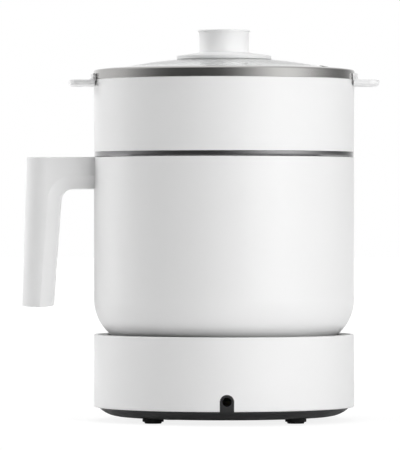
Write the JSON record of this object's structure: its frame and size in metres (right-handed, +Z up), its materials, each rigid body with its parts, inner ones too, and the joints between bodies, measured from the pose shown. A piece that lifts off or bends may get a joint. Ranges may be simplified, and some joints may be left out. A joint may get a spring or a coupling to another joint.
{
  "type": "electric hot pot",
  "caption": "Electric hot pot: round mains base with hot plate, lift-off pot with side handle, steamer ring with ears, and a domed glass lid with knob.",
  "frame": {"origin": "on the pot's axis, on the surface that the feet stand on", "axes": "+Z up, -Y towards the mains inlet at the back, -X towards the handle, +Y towards the dial at the front"},
  "size_m": [0.2556, 0.2012, 0.2792],
  "materials": {
    "white_abs": "fine matt moulding",
    "white_pp": "smooth satin polypropylene",
    "white_lacquer": "glossy baked lacquer on aluminium",
    "stone_coat": "dark speckled non-stick coat",
    "dark_abs": "charcoal moulding",
    "black_rubber": "matt rubber",
    "stainless": "polished rolled stainless steel",
    "clear_glass": "clear tempered glass",
    "cast_aluminium": "machined cast aluminium",
    "tube_steel": "annealed sheath",
    "plated_steel": "zinc plated",
    "screw_steel": "plated screws",
    "spring_steel": "drawn wire",
    "dark_bakelite": "phenolic moulding",
    "ivory_nylon": "nylon",
    "lead_sleeve": "silicone sleeve",
    "board_green": "solder resist",
    "lamp_plastic": "tinted clear plastic",
    "grey_ink": "inlay",
    "silicone": "silicone",
    "brass_insert": "turned brass"
  },
  "bodies": {
    "base": {"base_shell": "white_abs", "recess_dish": "white_abs", "bottom_cover": "dark_abs", "rubber_feet": "black_rubber", "cover_screws": "screw_steel", "inlet_bushing": "dark_abs", "heating_plate": "cast_aluminium", "heating_tube": "tube_steel", "support_pan": "plated_steel", "plate_standoffs": "plated_steel", "plate_screws": "screw_steel", "pan_screws": "screw_steel", "sensor_guide": "plated_steel", "thermostat": "dark_bakelite", "thermal_fuse": "screw_steel", "terminal_block": "ivory_nylon", "internal_leads": "lead_sleeve", "control_board": "board_green", "rotary_switch": "dark_bakelite", "dial_seat": "white_abs", "lamp_lens": "lamp_plastic"},
    "sensor": {"sensor_cap": "cast_aluminium", "sensor_spring": "spring_steel"},
    "dial": {"dial": "white_abs", "dial_pointer": "grey_ink", "dial_shaft": "plated_steel"},
    "pot": {"pot_jacket": "white_lacquer", "inner_pot": "stone_coat", "pot_base_disc": "cast_aluminium", "pot_gasket": "silicone", "handle_shell": "white_abs", "handle_cover": "white_abs", "handle_bracket": "plated_steel", "handle_screws": "screw_steel"},
    "steamer": {"steamer_ring": "white_pp", "steam_tray": "white_pp"},
    "lid": {"lid_glass": "clear_glass", "lid_band": "stainless", "lid_seal": "silicone", "vent_eyelet": "stainless", "knob_skirt": "white_pp", "knob_grip": "white_pp", "knob_cap": "white_pp", "knob_seat": "white_pp", "upper_washer": "silicone", "lower_washer": "silicone", "knob_insert": "brass_insert", "knob_screw": "screw_steel"}
  },
  "joints": [
    {"name": "pot_lift", "type": "slide", "parent": "base", "child": "pot", "axis": [0, 0, 1], "range_m": [0, 0.15]},
    {"name": "steamer_lift", "type": "slide", "parent": "pot", "child": "steamer", "axis": [0, 0, 1], "range_m": [0, 0.12]},
    {"name": "lid_lift", "type": "slide", "parent": "steamer", "child": "lid", "axis": [0, 0, 1], "range_m": [0, 0.1]},
    {"name": "dial_turn", "type": "hinge", "parent": "base", "child": "dial", "pos_m": [0, 0.1, 0.034], "axis": [0, -1, 0], "range_deg": [0, 270]},
    {"name": "sensor_press", "type": "slide", "parent": "base", "child": "sensor", "axis": [0, 0, 1], "range_m": [-0.002, 0], "stiffness_N_per_m": 150, "springref_m": 0.003, "deforming": ["sensor_spring"]}
  ]
}
